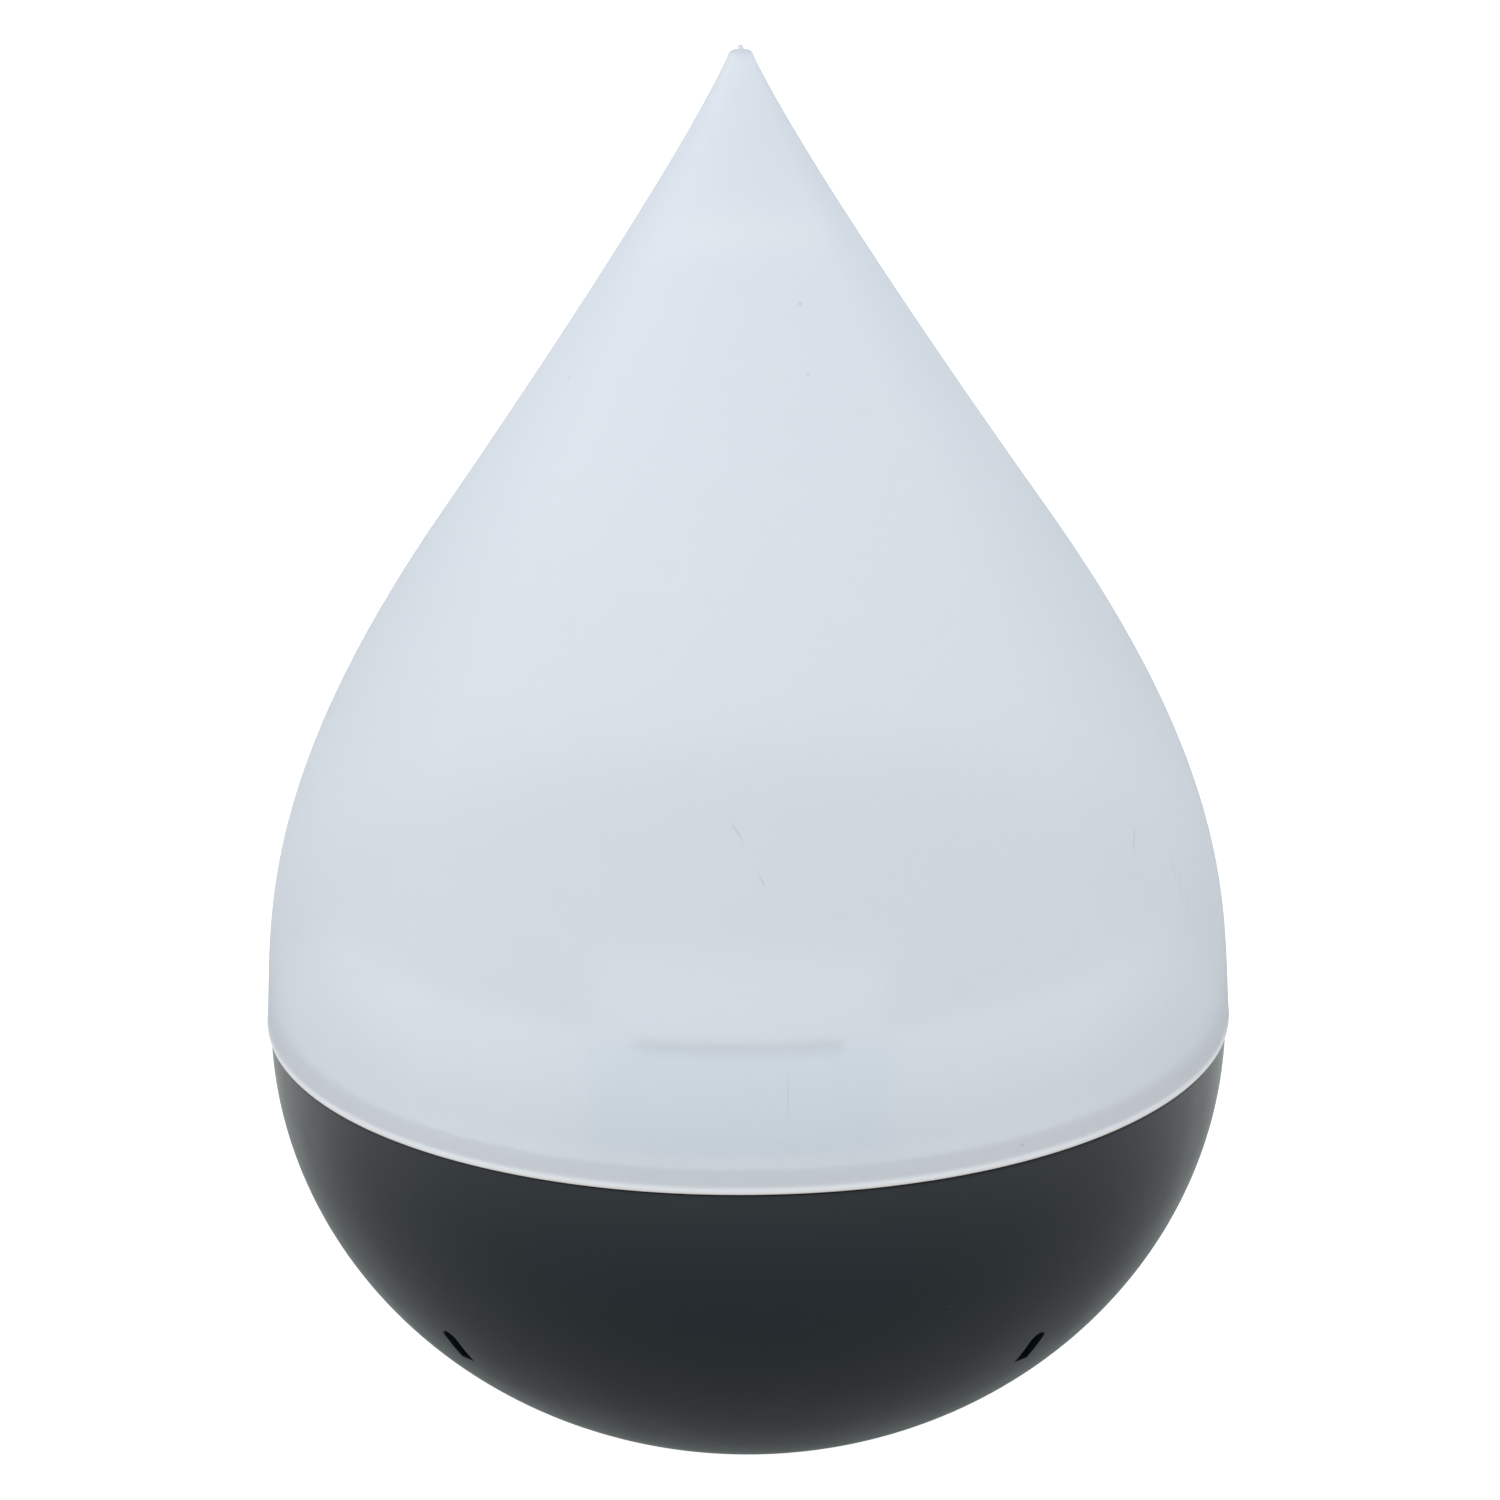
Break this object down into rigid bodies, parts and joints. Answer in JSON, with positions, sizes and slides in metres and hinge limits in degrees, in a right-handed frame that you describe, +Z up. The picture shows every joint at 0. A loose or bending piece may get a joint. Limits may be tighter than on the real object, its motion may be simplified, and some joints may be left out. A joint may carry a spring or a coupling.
{
  "type": "cool mist humidifier",
  "caption": "Tabletop ultrasonic cool mist humidifier: a teardrop-shaped frosted lift-off cover over a water tank in a dark rounded bowl base.",
  "frame": {"origin": "on the table, under the middle of the bowl, in the plane of the four rubber feet", "axes": "+Z up through the tip, -Y to the front, +Y to the back with the button, the power socket and the mist outlet, +X to the right seen from the front"},
  "size_m": [0.2012, 0.2012, 0.2938],
  "materials": {
    "frosted_plastic": "milky, translucent, frosted satin",
    "charcoal_plastic": "satin, finely textured",
    "tank_plastic": "satin, off-white",
    "hood_plastic": "satin, translucent grey-blue",
    "rubber": "matt",
    "steel": "zinc plated",
    "aluminium": "satin",
    "brass": "satin",
    "copper_winding": "enamelled wire",
    "float_foam": "closed-cell foam",
    "white_plastic": "semi-gloss",
    "clear_plastic": "clear, glossy",
    "black_plastic": "satin",
    "circuit_board": "solder mask, semi-gloss",
    "lead_insulation": "PVC"
  },
  "bodies": {
    "base": {"base_bowl": "charcoal_plastic", "reservoir": "tank_plastic", "duct_hood": "hood_plastic", "rubber_foot_1": "rubber", "rubber_foot_2": "rubber", "rubber_foot_3": "rubber", "rubber_foot_4": "rubber", "piezo_seal": "rubber", "body_screw_1": "steel", "body_screw_2": "steel", "body_screw_3": "steel", "body_screw_4": "steel", "retainer_screw_1": "steel", "retainer_screw_2": "steel", "retainer_screw_3": "steel", "fan_screw_1": "steel", "fan_screw_2": "steel", "fan_screw_3": "steel", "fan_screw_4": "steel", "board_screw_1": "steel", "board_screw_2": "steel", "board_screw_3": "steel", "board_screw_4": "steel", "button_board_screw_1": "steel", "button_board_screw_2": "steel", "jack_nut": "steel", "jack_pin": "steel", "piezo_retainer": "aluminium", "heatsink": "aluminium", "piezo_disc": "brass", "inductor": "copper_winding", "float_cap": "white_plastic", "fan_connector": "white_plastic", "button_connector": "white_plastic", "piezo_connector": "white_plastic", "jack_connector": "white_plastic", "light_pipe": "clear_plastic", "status_led": "clear_plastic", "reed_switch": "clear_plastic", "fan_housing": "black_plastic", "transistor": "black_plastic", "capacitor": "black_plastic", "dc_jack": "black_plastic", "tact_switch": "black_plastic", "main_board": "circuit_board", "button_board": "circuit_board", "fan_lead": "lead_insulation", "piezo_lead": "lead_insulation", "jack_lead": "lead_insulation", "button_lead": "lead_insulation"},
    "cover": {"mist_cover": "frosted_plastic"},
    "button": {"power_button": "charcoal_plastic", "switch_plunger": "white_plastic"},
    "rotor": {"fan_rotor": "black_plastic"},
    "float_ring": {"float": "float_foam", "float_magnet": "black_plastic"}
  },
  "joints": [
    {"name": "cover_lift", "type": "slide", "parent": "base", "child": "cover", "axis": [0, 0, 1], "range_m": [0, 0.12]},
    {"name": "button_press", "type": "slide", "parent": "base", "child": "button", "axis": [0, -0.9651, 0.2619], "range_m": [0, 0.0008], "stiffness_N_per_m": 500},
    {"name": "fan_spin", "type": "hinge", "parent": "base", "child": "rotor", "pos_m": [0, -0.057, 0.045], "axis": [0, 0, 1], "continuous": true},
    {"name": "float_rise", "type": "slide", "parent": "base", "child": "float_ring", "axis": [0, 0, 1], "range_m": [0, 0.01]}
  ]
}
